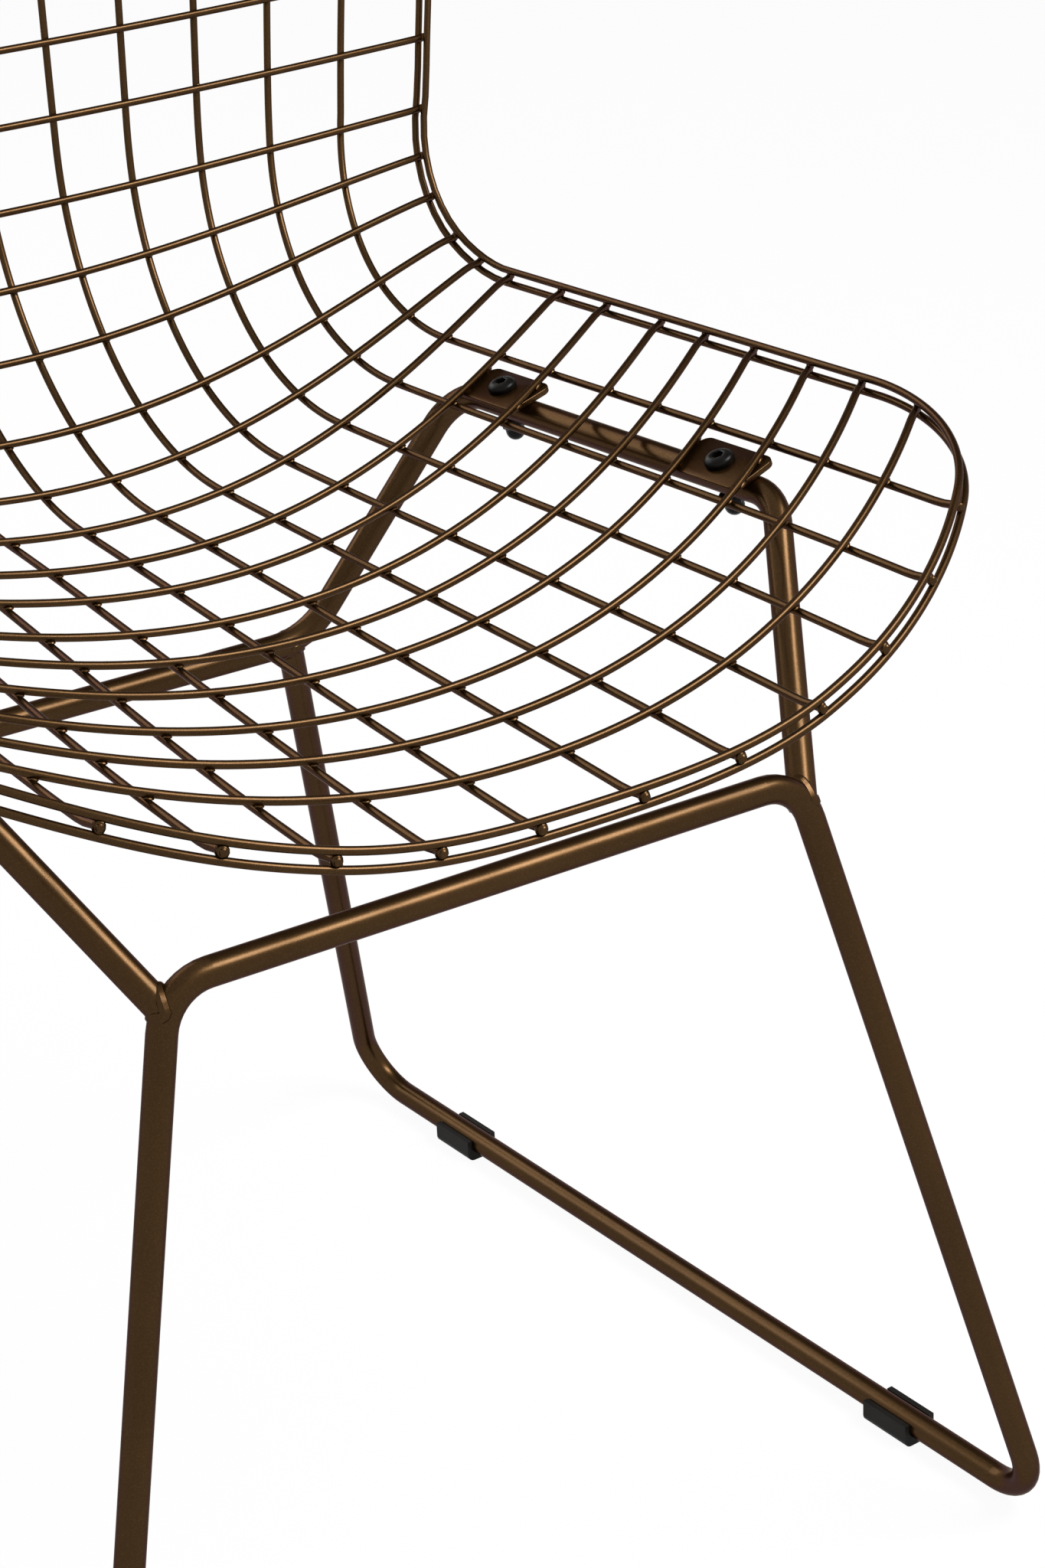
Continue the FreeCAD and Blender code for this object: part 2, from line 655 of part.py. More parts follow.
def make_nut():
    """Cap nut; its seat lies in the local plane z = 0 and the dome points down."""
    body = document.addObject("PartDesign::Body", "nut")
    outline_sketch = body_sketch(body, "nut_outline", "XY_Plane")
    draw_outline(outline_sketch, hexagon(size["nut_size"]))
    hexagon_pad = body.newObject("PartDesign::Pad", "nut_hexagon")
    hexagon_pad.Profile = outline_sketch
    hexagon_pad.setExpression("Length", "sizes.nut_hexagon_height")
    hexagon_pad.Reversed = True
    document.recompute()
    dome = body_sketch(body, "nut_dome_section", "XZ_Plane")
    radius = size["nut_dome_diameter"] / 2
    seat = -size["nut_hexagon_height"]
    end = -size["nut_height"]
    slant = (radius * 0.8, end + radius * 0.4)
    corners = [(0, seat), (radius, seat), (radius, end + radius), slant, (radius * 0.3, end), (0, end)]
    draw_outline(dome, corners)
    turned = body.newObject("PartDesign::Revolution", "nut_dome")
    turned.Profile = dome
    turned.ReferenceAxis = (dome, ["V_Axis"])
    turned.Angle = 360
    document.recompute()
    bore_sketch = body_sketch(body, "nut_bore_outline", "XY_Plane")
    bore_sketch.addGeometry(Part.Circle(Vector(0, 0, 0), Vector(0, 0, 1), size["nut_bore_diameter"] / 2), False)
    bore = body.newObject("PartDesign::Pocket", "nut_bore")
    bore.Profile = bore_sketch
    bore.setExpression("Length", "sizes.nut_bore_depth")
    return body


def seat_placement(place, normal, depth, side):
    """Placement at a depth over the rail's axis: local z along the normal, local y along the rail."""
    level = (normal - rail_direction * normal.dot(rail_direction)).normalize()
    on_rail = rail_point(place.y)
    on_rail = on_rail + rail_direction * (place - on_rail).dot(rail_direction)
    origin = on_rail + level * depth
    direction = rail_direction
    if side < 0:
        origin, level, direction = mirrored(origin), mirrored(level), mirrored(direction)
    rotation = Rotation(direction.cross(level), direction, level, "ZXY")
    return FreeCAD.Placement(origin, rotation)


def add_group(name, body, placements):
    """One object with a separate copy of a body at each placement."""
    copies = []
    for number, placement in enumerate(placements, start=1):
        copy = document.addObject("App::Link", "%s_%d" % (name, number))
        copy.LinkedObject = body
        copy.LinkTransform = False
        copy.Placement = placement
        copies.append(copy)
    group = document.addObject("Part::Compound", name)
    group.Links = copies
    finish_node(group, name)


PLATE_BOTTOM = ROD_RADIUS + size["seat_clearance"]
HEAD_SEAT = PLATE_BOTTOM + size["plate_thickness"] + size["seat_clearance"]
NUT_SEAT = -(ROD_RADIUS + size["seat_clearance"])
SCREW_LENGTH = HEAD_SEAT - NUT_SEAT + size["nut_bore_depth"] - size["screw_end_gap"]

head_places = []
nut_places = []
for end_name, place, normal, front_wire in (("front", front_place, front_normal, int(size["plate_front_wire"])),
                                            ("rear", rear_place, rear_normal, int(size["plate_rear_wire"]))):
    spacing = cross_wire_station(front_wire + 1) - cross_wire_station(front_wire)
    length = spacing + size["wire_diameter"] + 2 * size["plate_overhang"]
    for side_name, side in (("left", -1), ("right", 1)):
        plate_place = seat_placement(place, normal, PLATE_BOTTOM + size["plate_thickness"], side)
        make_bracket("bracket_%s_%s" % (end_name, side_name), length, plate_place)
        head_places.append(seat_placement(place, normal, HEAD_SEAT, side))
        nut_places.append(seat_placement(place, normal, NUT_SEAT, side))
        axis_place = seat_placement(place, normal, 0, side)
        frame = add_hole("screw_hole_%s_%s" % (end_name, side_name), frame, axis_place.Base,
                         axis_place.Rotation.multVec(Vector(0, 0, 1)))
add_group("rail_screws", make_screw(), head_places)
add_group("rail_nuts", make_nut(), nut_places)
finish_node(frame, "seat_frame_rod")


# Feet

def make_foot(name, reach, from_rear, side):
    """Clip of U section that holds a runner from below."""
    body = document.addObject("PartDesign::Body", name)
    section = body_sketch(body, name + "_section", "XZ_Plane")
    bore = ROD_RADIUS + size["foot_clearance"]
    outer = bore + size["foot_wall"]
    rim = size["foot_height"] - RUNNER_HEIGHT
    edge = size["foot_edge_radius"]
    low = edge - RUNNER_HEIGHT
    slant = edge * (1 - math.sqrt(0.5))
    floor_half = outer - edge
    lines = (((-floor_half, -RUNNER_HEIGHT), (floor_half, -RUNNER_HEIGHT)), ((outer, low), (outer, rim)),
             ((outer, rim), (bore, rim)), ((bore, rim), (bore, 0)), ((-bore, 0), (-bore, rim)),
             ((-bore, rim), (-outer, rim)), ((-outer, rim), (-outer, low)))
    for start, finish in lines:
        section.addGeometry(Part.LineSegment(Vector(*start, 0), Vector(*finish, 0)), False)
    for hand in (-1, 1):
        section.addGeometry(Part.Arc(Vector(hand * floor_half, -RUNNER_HEIGHT, 0),
                                     Vector(hand * (outer - slant), slant - RUNNER_HEIGHT, 0),
                                     Vector(hand * outer, low, 0)), False)
    section.addGeometry(Part.Arc(Vector(-bore, 0, 0), Vector(0, -bore, 0), Vector(bore, 0, 0)), False)
    clip = body.newObject("PartDesign::Pad", name + "_clip")
    clip.Profile = section
    clip.setExpression("Length", "sizes.foot_length")
    clip.Midplane = True
    document.recompute()
    along = (runner_rear - runner_front).normalize()
    place = runner_rear - along * reach if from_rear else runner_front + along * reach
    if side < 0:
        place, along = mirrored(place), mirrored(along)
    body.Placement = FreeCAD.Placement(place, Rotation(Vector(0, 1, 0), along))
    finish_node(body, name)


for side_name, side in (("left", -1), ("right", 1)):
    make_foot("foot_front_" + side_name, size["front_foot_reach"], False, side)
    make_foot("foot_rear_" + side_name, size["rear_foot_reach"], True, side)


# Check and export

document.recompute()
for item in document.Objects:
    if "Invalid" in item.State or "Error" in item.State:
        raise ValueError("%s is %s" % (item.Name, item.State))
for node in nodes:
    if node.Shape.isNull() or not node.Shape.isValid():
        raise ValueError("%s has no valid shape" % node.Label)
os.makedirs("parts", exist_ok=True)
for node in nodes:
    node.Shape.exportStep("parts/%s.step" % node.Label)
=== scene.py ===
import json
import math
import random
from collections import namedtuple

import bmesh
import bpy
from mathutils import Matrix, Vector


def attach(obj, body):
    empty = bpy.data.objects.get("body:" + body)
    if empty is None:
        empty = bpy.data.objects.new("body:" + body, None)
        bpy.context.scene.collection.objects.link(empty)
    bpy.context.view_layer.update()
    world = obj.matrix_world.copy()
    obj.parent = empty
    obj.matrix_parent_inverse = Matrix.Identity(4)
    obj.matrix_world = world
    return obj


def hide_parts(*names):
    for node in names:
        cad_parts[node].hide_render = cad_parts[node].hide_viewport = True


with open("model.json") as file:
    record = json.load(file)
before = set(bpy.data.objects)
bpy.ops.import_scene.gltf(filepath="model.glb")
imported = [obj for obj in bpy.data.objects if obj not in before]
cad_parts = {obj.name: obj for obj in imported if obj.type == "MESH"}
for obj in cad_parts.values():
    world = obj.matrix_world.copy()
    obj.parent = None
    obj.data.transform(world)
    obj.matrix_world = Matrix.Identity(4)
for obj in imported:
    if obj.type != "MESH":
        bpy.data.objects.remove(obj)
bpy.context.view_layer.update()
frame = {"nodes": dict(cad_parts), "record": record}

# Wire mesh chair: a net of welded round wires between two rim wires, screwed to a base that
# is bent from two round rods and stands on four clips. Lengths are in metres, X points to the
# right seen from the front, -Y to the front and Z up. The sizes are the model's own, and places
# are measured from a point that lies in front of the frame's origin by this setback.

SETBACK = Vector((0, -0.0567, 0))

# The net's section front to back, along its middle and along its side, and its width

Profile = namedtuple("Profile", "y height seat_slope bend_start bend_end radius back_slope")
MIDDLE = Profile(y=-0.190, height=0.4425, seat_slope=math.radians(1.2), bend_start=0.3435,
                 bend_end=0.5555, radius=0.157, back_slope=math.radians(83.3))
SIDE = Profile(y=-0.140, height=0.491, seat_slope=math.radians(-1.5), bend_start=0.3365,
               bend_end=0.539, radius=0.116, back_slope=math.radians(78.0))
SIDE_ACROSS = 0.2255
DISH_FLATTENING = 0.28
WIDTH_MEAN = 1.028
WIDTH_SWING = 0.134
WAIST_STATION = 0.401
WIDTH_HALF_WAVE = 0.442
FRONT_FAN = 0.196
SLOPE_REACH = 0.001

# Wires: their thickness, their layers, and how their ends close up between the rim wires

WIRE_RADIUS = 0.0018
LAYER_GAP = 0.00015
LAYER = WIRE_RADIUS + LAYER_GAP / 2
RIM_LAYER = 2 * LAYER
END_PAST_RIM = 0.0006
END_REACH = WIRE_RADIUS + END_PAST_RIM
END_BLEND = 0.014
END_CHAMFER = 0.0005
END_RADIUS_SHARE = 0.72

# Spacing of the wires, with the small shifts that single cross wires have

LONG_WIRES = 12
LONG_PITCH = 0.041
LONG_SPREAD = 0.0108
CROSS_WIRES = 18
FIRST_CROSS_WIRE = 0.003
LAST_SEAT_WIRE = 8
LAST_BEND_WIRE = 12
SEAT_PITCH = 0.0404
BEND_PITCH = 0.0434
BACK_PITCH = 0.0363
HAND_SHIFTS = {3: -0.0023, 5: -0.0021, 6: -0.0062, 9: 0.0038, 10: 0.0049, 13: -0.0018, 14: -0.0026}

# Outline of the rim on the net

HALF_SECTIONS = 6
RIM_FRONT = 0.0554
RIM_FRONT_DIP = 0.009
RIM_DIP_HALF = 0.105
RIM_SEAT_HALF = 0.3048
RIM_BACK_HALF = 0.2901
RIM_DRAW = (0.340, 0.540)
RIM_TOP = 0.734
SWEEP_START = 0.123
SWEEP_RADIUS = 0.560
FRONT_CORNER_RADIUS = 0.0785
TOP_CORNER_RADIUS = 0.150

# Rods of the base: corners of their axes, on the right side

ROD_RADIUS = 0.00635
SOLE_HEIGHT = 0.0031
RUNNER_HEIGHT = ROD_RADIUS + SOLE_HEIGHT
FRONT_BAR = Vector((0.1505, -0.1662, RUNNER_HEIGHT + 0.3782))
RUNNER_FRONT = Vector((0.2440, -0.2236, RUNNER_HEIGHT))
RUNNER_REAR = Vector((0.2081, 0.3255, RUNNER_HEIGHT))
REAR_BAR = Vector((0.1042, 0.1707, RUNNER_HEIGHT + 0.3484))
RAIL_FRONT_Y = -0.077
RAIL_REAR_Y = 0.1611
FRONT_BAR_BEND = 0.024
REAR_BAR_BEND = 0.040
STRUT_FOOT_SHARE = 0.75
LEG_TOP_SHARE = 0.25

# Plates between the net and the seat rails, each held by one screw and one nut

SIDES = {"left": -1, "right": 1}
PLATE_ACROSS = 0.2115
PLATE_FRONT_WIRES = {"front": 3, "rear": 7}
PLATE_THICKNESS = 0.003
PLATE_WIDTH = 0.026
PLATE_OVERHANG = 0.0005
PLATE_CORNER = 0.005
PLATE_EDGE = 0.0005
CLEARANCE = 0.0001

HEAD_RADIUS = 0.007
HEAD_EDGE = 0.0012
HEAD_HEIGHT = 0.0042
HEAD_CHAMFER = 0.0003
SHANK_RADIUS = 0.003
SHANK_LENGTH = 0.022
SOCKET_SIZE = 0.005
SOCKET_DEPTH = 0.0024
SOCKET_RIM = 0.0033
SOCKET_CHAMFER = 0.0002

NUT_SIZE = 0.010
NUT_HEXAGON_HEIGHT = 0.005
NUT_EDGE = 0.0004
NUT_HEIGHT = 0.012
NUT_DOME_RADIUS = 0.0047
NUT_DOME_OVERLAP = 0.0005

# Welds: half sizes of the lumps along the net, across it and out of it, the seams of the base,
# and the hand that makes each of them a little different

CROSSING_WELD = (0.0021, 0.0023, 0.0010)
RIM_WELD = (0.0023, 0.0026, 0.0031)
PLATE_WELD = (0.0020, 0.0036, 0.0019)
PLATE_WELD_REACH = 0.0095
PLATE_WELD_RISE = 0.0003
PLATE_WELD_SHIFT = 0.0004
LUMP_VARIATION = (0.88, 1.12)
SEAM_RADIUS = 0.0032
SEAM_SPOKE_SHARE = 0.70
SEAM_SINK = 0.0012
SEAM_LOWEST = 0.0012
SEAM_VARIATION = (0.96, 1.04)
HAND = random.Random(5)

# Fineness of the round shapes

WIRE_STEP = 0.006
WIRE_SIDES = 16
RIM_STEPS = 36
TURN_STEPS = 36
DOME_STEPS = 8
SEAM_STEPS = 48
SEAM_SIDES = 10
MERGE_DISTANCE = 1e-7
LEVEL_TOLERANCE = 1e-6
SHARP_ANGLE = math.radians(35)

# Studio and camera, with the camera's focal length in the photograph's pixels

FLOOR_HALF = 14.0
FLOOR_COLOUR = (0.95, 0.95, 0.95, 1.0)
FLOOR_GLOW_SHARE = 0.95
# Glowing sheet that paints dark reflections on the metal: its half size, place and colour
REFLECTION_SHEET_HALF = 2.8
REFLECTION_SHEET_PLACE = (3.5, 2.5, 2.6)
PAINTED_REFLECTION_COLOUR = (0.20, 0.20, 0.20, 1.0)
WHITE = (1.0, 1.0, 1.0, 1.0)
WORLD_LIGHT = 0.22
WORLD_SHOWN = 0.965
CAMERA_PLACE = Vector((-0.6434, -1.2103, 0.9846))
CAMERA_YAW = math.radians(32.18)
CAMERA_PITCH = math.radians(24.41)
CAMERA_ROLL = math.radians(-2.73)
CAMERA_FOCUS = 4454.6
PHOTO_LONG_SIDE = 2048


def ease(share):
    """0 up to a share of 0, 1 from a share of 1, and a smooth rise between."""
    share = min(max(share, 0), 1)
    return share * share * (3 - 2 * share)


# The net's middle surface, between its two layers of wires

def profile_point(profile, station):
    """Place front to back and height of a section's point: straight seat, round bend, straight back."""
    seat_slope, back_slope = profile.seat_slope, profile.back_slope
    seat_run = min(station, profile.bend_start)
    back_run = max(station - profile.bend_end, 0)
    bend = min(max((station - profile.bend_start) / (profile.bend_end - profile.bend_start), 0), 1)
    slope = seat_slope + bend * (back_slope - seat_slope)
    y = profile.y + seat_run * math.cos(seat_slope) + back_run * math.cos(back_slope)
    y += profile.radius * (math.sin(slope) - math.sin(seat_slope))
    z = profile.height + seat_run * math.sin(seat_slope) + back_run * math.sin(back_slope)
    z += profile.radius * (math.cos(seat_slope) - math.cos(slope))
    return y, z


def net_point(across, station):
    """Point of the dished net, by its place across and its station from front to top."""
    middle_y, middle_z = profile_point(MIDDLE, station)
    side_y, side_z = profile_point(SIDE, station)
    share = abs(across) / SIDE_ACROSS
    wave = math.cos(math.pi * (station - WAIST_STATION) / WIDTH_HALF_WAVE)
    stretch = WIDTH_MEAN - WIDTH_SWING * wave
    if station < WAIST_STATION:
        stretch -= FRONT_FAN * (1 - wave) / 2 * share
    rise = (1 + DISH_FLATTENING) * share ** 2 - DISH_FLATTENING * share ** 4
    place = Vector((across * stretch, middle_y + (side_y - middle_y) * share ** 2,
                    middle_z + (side_z - middle_z) * rise))
    return place + SETBACK


def net_directions(across, station):
    """Directions along the net, across it and out of it, upwards on the seat."""
    along = net_point(across, station + SLOPE_REACH) - net_point(across, station - SLOPE_REACH)
    sideways = net_point(across + SLOPE_REACH, station) - net_point(across - SLOPE_REACH, station)
    return along.normalized(), sideways.normalized(), sideways.cross(along).normalized()


def layer_point(across, station, offset):
    """Point that lies over the net's middle surface by an offset."""
    return net_point(across, station) + net_directions(across, station)[2] * offset


def long_wire_across(number):
    """Place across of a long wire; the outer wires stand a little wider apart."""
    place = number - (LONG_WIRES + 1) / 2
    outermost = (LONG_WIRES - 1) / 2
    return LONG_PITCH * place + math.copysign(LONG_SPREAD * (abs(place) / outermost) ** 4, place)


def cross_wire_station(number):
    """Station of a cross wire, counted from the front edge."""
    station = FIRST_CROSS_WIRE + SEAT_PITCH * (min(number, LAST_SEAT_WIRE) - 1)
    station += BEND_PITCH * min(max(number - LAST_SEAT_WIRE, 0), LAST_BEND_WIRE - LAST_SEAT_WIRE)
    station += BACK_PITCH * max(number - LAST_BEND_WIRE, 0)
    return station + HAND_SHIFTS.get(number, 0)


# The rim's outline on the flat net

def front_corner():
    """Turn of the front edge's sweep, and the middle of the corner arc after it."""
    across = RIM_SEAT_HALF - FRONT_CORNER_RADIUS
    turn = math.asin((across - SWEEP_START) / (SWEEP_RADIUS - FRONT_CORNER_RADIUS))
    station = -RIM_FRONT + SWEEP_RADIUS - (SWEEP_RADIUS - FRONT_CORNER_RADIUS) * math.cos(turn)
    return turn, across, station


def front_station(across):
    """Station of the front edge: a shallow dip in the middle and a wide sweep beyond it."""
    across = abs(across)
    dip = RIM_FRONT_DIP * (1 - ease(across / RIM_DIP_HALF))
    beyond = max(across - SWEEP_START, 0)
    return -RIM_FRONT + dip + SWEEP_RADIUS - math.sqrt(SWEEP_RADIUS ** 2 - beyond ** 2)


def top_station(across):
    """Station of the top edge, rounded at its corners."""
    beyond = max(abs(across) - (RIM_BACK_HALF - TOP_CORNER_RADIUS), 0)
    return RIM_TOP - TOP_CORNER_RADIUS + math.sqrt(TOP_CORNER_RADIUS ** 2 - beyond ** 2)


def side_half(station):
    """Half width of the outline behind the front sweep."""
    corner_across, corner_station = front_corner()[1:]
    if station < corner_station:
        return corner_across + math.sqrt(FRONT_CORNER_RADIUS ** 2 - (corner_station - station) ** 2)
    beyond = max(station - (RIM_TOP - TOP_CORNER_RADIUS), 0)
    draw = ease((station - RIM_DRAW[0]) / (RIM_DRAW[1] - RIM_DRAW[0]))
    half = RIM_SEAT_HALF + (RIM_BACK_HALF - RIM_SEAT_HALF) * draw
    return half - TOP_CORNER_RADIUS + math.sqrt(TOP_CORNER_RADIUS ** 2 - beyond ** 2)


def half_outline(place):
    """Outline from the front middle, at 0, over the right side to the top middle, at 6."""
    turn, corner_across, corner_station = front_corner()
    section = min(int(place), HALF_SECTIONS - 1)
    share = place - section
    top_corner = RIM_TOP - TOP_CORNER_RADIUS
    if section == 0:
        across = share * SWEEP_START
        return across, front_station(across)
    if section == 1:
        across = SWEEP_START + SWEEP_RADIUS * math.sin(turn * share)
        return across, front_station(across)
    if section == 2:
        angle = turn + (math.pi / 2 - turn) * share
        return (corner_across + FRONT_CORNER_RADIUS * math.sin(angle),
                corner_station - FRONT_CORNER_RADIUS * math.cos(angle))
    if section == 3:
        station = corner_station + (top_corner - corner_station) * share
        return side_half(station), station
    if section == 4:
        angle = math.pi / 2 * share
        return (RIM_BACK_HALF - TOP_CORNER_RADIUS * (1 - math.cos(angle)),
                top_corner + TOP_CORNER_RADIUS * math.sin(angle))
    return (RIM_BACK_HALF - TOP_CORNER_RADIUS) * (1 - share), RIM_TOP


def outline(place):
    """Whole outline, on from the top middle down the left side and back to the front middle."""
    if place <= HALF_SECTIONS:
        return half_outline(place)
    across, station = half_outline(2 * HALF_SECTIONS - place)
    return -across, station


# Shader nodes

class Signal:
    """An output socket on which arithmetic adds the Math nodes it needs."""

    def __init__(self, shading, socket):
        self.shading = shading
        self.socket = socket

    def combine(self, operation, first, second):
        return self.shading.node("ShaderNodeMath", {"operation": operation}, {0: first, 1: second})

    def __add__(self, other):
        return self.combine("ADD", self, other)

    def __sub__(self, other):
        return self.combine("SUBTRACT", self, other)

    def __rsub__(self, other):
        return self.combine("SUBTRACT", other, self)

    def __mul__(self, other):
        return self.combine("MULTIPLY", self, other)

    def __pow__(self, other):
        return self.combine("POWER", self, other)

    def __rpow__(self, other):
        return self.combine("POWER", other, self)

    __radd__ = __add__
    __rmul__ = __mul__


class Shading:
    """The emptied node tree of a material or of the world."""

    def __init__(self, owner):
        owner.use_nodes = True
        self.owner = owner
        self.tree = owner.node_tree
        self.tree.nodes.clear()

    def node(self, kind, settings, values, output=0):
        """Adds a node, sets it, fills its sockets and gives one of its outputs."""
        added = self.tree.nodes.new(kind)
        for name, setting in settings.items():
            if name == "stops":
                for element, (position, colour) in zip(added.color_ramp.elements, setting):
                    element.position = position
                    element.color = (*colour, 1)
            else:
                setattr(added, name, setting)
        for socket, value in values.items():
            if isinstance(value, Signal):
                self.tree.links.new(value.socket, added.inputs[socket])
            else:
                added.inputs[socket].default_value = value
        return Signal(self, added.outputs[output]) if added.outputs else None

    def ray(self, kind):
        """1 for one kind of ray and 0 for all others."""
        return self.node("ShaderNodeLightPath", {}, {}, kind)


class Finish(Shading):
    """A new material, with the patterns that the chair's finishes share."""

    def __init__(self, name):
        super().__init__(bpy.data.materials.new(name))

    def place(self):
        return self.node("ShaderNodeTexCoord", {}, {}, "Object")

    def noise(self, scale, detail=2.0, roughness=0.5):
        values = {"Vector": self.place(), "Scale": scale, "Detail": detail, "Roughness": roughness}
        return self.node("ShaderNodeTexNoise", {}, values)

    def ramp(self, factor, low, high):
        """Colour between two stops, each a position and a colour."""
        return self.node("ShaderNodeValToRGB", {"stops": (low, high)}, {"Fac": factor}, "Color")

    def blend(self, factor, one, other):
        """Mix of two colours, which a Mix node takes on its sockets 6 and 7."""
        return self.node("ShaderNodeMix", {"data_type": "RGBA"}, {0: factor, 6: one, 7: other}, 2)

    def bump(self, height, strength, distance):
        values = {"Height": height, "Strength": strength, "Distance": distance}
        return self.node("ShaderNodeBump", {}, values, "Normal")

    def close(self, shader):
        """Shows a shader on the material, which it gives back."""
        self.node("ShaderNodeOutputMaterial", {}, {"Surface": shader})
        return self.owner

    def surface(self, values):
        return self.close(self.node("ShaderNodeBsdfPrincipled", {}, values))


def bronze_paint():
    """Satin bronze-brown metallic paint: fine flakes, slow changes of tone and faint orange peel."""
    finish = Finish("bronze_paint_finish")
    tone = finish.noise(11.0, 3.0)
    flakes = finish.node("ShaderNodeTexVoronoi", {}, {"Vector": finish.place(), "Scale": 3200.0}, "Color")
    sparkle = finish.node("ShaderNodeSeparateColor", {}, {"Color": flakes})
    coat = finish.ramp(tone, (0.30, (0.041, 0.0195, 0.0052)), (0.70, (0.054, 0.0265, 0.0082)))
    grain = finish.noise(780.0, 2.0)
    return finish.surface({
        "Base Color": finish.blend((sparkle ** 5.0) * 0.30, coat, (0.12, 0.068, 0.028, 1.0)),
        "Metallic": 0.94 - sparkle * 0.05,
        "Roughness": 0.28 + finish.noise(70.0, 4.0, 0.6) * 0.08,
        "Specular Tint": (0.40, 0.32, 0.23, 1.0),
        "Coat Weight": 0.11,
        "Coat Roughness": 0.22,
        "Normal": finish.bump(grain + finish.noise(150.0, 1.0) * 0.5, 0.07, 0.0001),
    })


def black_steel():
    """Blackened steel of the screws and nuts, a little worn in patches."""
    finish = Finish("black_steel_finish")
    patches = finish.noise(160.0, 5.0, 0.65)
    colour = finish.ramp(patches, (0.35, (0.0030, 0.0025, 0.0021)), (0.68, (0.0065, 0.0055, 0.0046)))
    return finish.surface({
        "Base Color": colour,
        "Roughness": 0.22 + patches * 0.14,
        "Specular IOR Level": 0.09,
        "Normal": finish.bump(finish.noise(900.0, 3.0), 0.25, 0.0001),
    })


def black_plastic():
    """Moulded black plastic with a fine grain."""
    finish = Finish("black_plastic_finish")
    grain = finish.noise(1400.0, 2.0, 0.7)
    tone = finish.noise(60.0, 3.0)
    colour = finish.ramp(tone, (0.3, (0.0065, 0.0057, 0.0048)), (0.7, (0.0105, 0.0092, 0.0078)))
    return finish.surface({
        "Base Color": colour,
        "Roughness": 0.40 + grain * 0.16,
        "Specular IOR Level": 0.09,
        "Normal": finish.bump(grain, 0.3, 0.00012),
    })


FINISHES = {
    "bronze_paint": bronze_paint(),
    "black_steel": black_steel(),
    "black_plastic": black_plastic(),
}


# Pieces

def add_object(name, mesh, material):
    """Puts a finished bmesh into the scene."""
    data = bpy.data.meshes.new(name)
    mesh.to_mesh(data)
    mesh.free()
    data.materials.append(material)
    added = bpy.data.objects.new(name, data)
    bpy.context.scene.collection.objects.link(added)
    return added


def add_piece(name, mesh, slot, nodes=()):
    """Makes a finished bmesh a piece of the chair, in place of the CAD nodes it stands for."""
    bmesh.ops.recalc_face_normals(mesh, faces=mesh.faces)
    for face in mesh.faces:
        face.smooth = True
    for edge in mesh.edges:
        if edge.calc_face_angle(0) > SHARP_ANGLE:
            edge.smooth = False
    piece = add_object(name, mesh, FINISHES[slot])
    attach(piece, "root")
    if nodes:
        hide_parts(*nodes)


def only_verts(items):
    return [item for item in items if isinstance(item, bmesh.types.BMVert)]


def extrude_ring(mesh, edges):
    """Doubles a ring of edges in place and gives the vertices and edges of the new ring."""
    grown = bmesh.ops.extrude_edge_only(mesh, edges=edges)["geom"]
    verts = only_verts(grown)
    outer = set(verts)
    edges = [item for item in grown if isinstance(item, bmesh.types.BMEdge) and set(item.verts) <= outer]
    return verts, edges


def thicken_down(mesh, thickness):
    """Makes a plate of a flat shape, whose top stays where it is."""
    grown = bmesh.ops.extrude_face_region(mesh, geom=mesh.faces[:])["geom"]
    bmesh.ops.translate(mesh, verts=only_verts(grown), vec=(0, 0, -thickness))


def path_frames(points, closed):
    """Frames along a path that don't turn about it, with their z axis along it."""
    if closed:
        befores = points[-1:] + points[:-1]
        afters = points[1:] + points[:1]
    else:
        befores = points[:1] + points[:-1]
        afters = points[1:] + points[-1:]
    directions = [(after - before).normalized() for before, after in zip(befores, afters)]
    turn = Vector((0, 0, 1)).rotation_difference(directions[0])
    frames = []
    for index, (point, direction) in enumerate(zip(points, directions)):
        if index:
            turn = directions[index - 1].rotation_difference(direction) @ turn
        frames.append(Matrix.Translation(point) @ turn.to_matrix().to_4x4())
    return frames


def sweep_tube(mesh, points, radii, sides, closed=False):
    """Round tube along points, from a circle that is extruded from one point to the next."""
    frames = path_frames(points, closed)
    poses = [place @ Matrix.Scale(radius, 4) for place, radius in zip(frames, radii)]
    ring = bmesh.ops.create_circle(mesh, segments=sides, radius=1, cap_ends=not closed, matrix=poses[0])
    first_edges = list({edge for vert in ring["verts"] for edge in vert.link_edges})
    edges = first_edges
    for before, after in zip(poses, poses[1:]):
        verts, edges = extrude_ring(mesh, edges)
        bmesh.ops.transform(mesh, matrix=after @ before.inverted(), verts=verts)
    if closed:
        bmesh.ops.bridge_loops(mesh, edges=first_edges + edges)
    else:
        bmesh.ops.contextual_create(mesh, geom=edges)


def run_places(first, last):
    """Even places from first to last, with a chamfer's width kept at both ends."""
    count = max(round((last - first) / WIRE_STEP), 2)
    start = first + END_CHAMFER
    run = last - first - 2 * END_CHAMFER
    return [first] + [start + run * index / count for index in range(count + 1)] + [last]


def add_wire(name, curve, first, last):
    """Round wire with slightly chamfered ends, in place of the CAD wire of that name."""
    mesh = bmesh.new()
    places = run_places(first, last)
    end_radius = WIRE_RADIUS * END_RADIUS_SHARE
    radii = [end_radius] + [WIRE_RADIUS] * (len(places) - 2) + [end_radius]
    sweep_tube(mesh, [curve(place) for place in places], radii, WIRE_SIDES)
    add_piece("round_" + name, mesh, "bronze_paint", [name])


def end_blend(place, first, last):
    """1 along a wire's run, easing to 0 at its ends between the rim wires."""
    nearest = min(place - first, last - place)
    return ease((nearest - END_REACH) / END_BLEND)


def make_long_wire(number):
    """Wire of the lower layer, from the front edge to the top edge."""
    across = long_wire_across(number)
    first = front_station(across) - END_REACH
    last = top_station(across) + END_REACH

    def curve(station):
        return layer_point(across, station, -LAYER * end_blend(station, first, last))

    add_wire("long_wire_%02d" % number, curve, first, last)


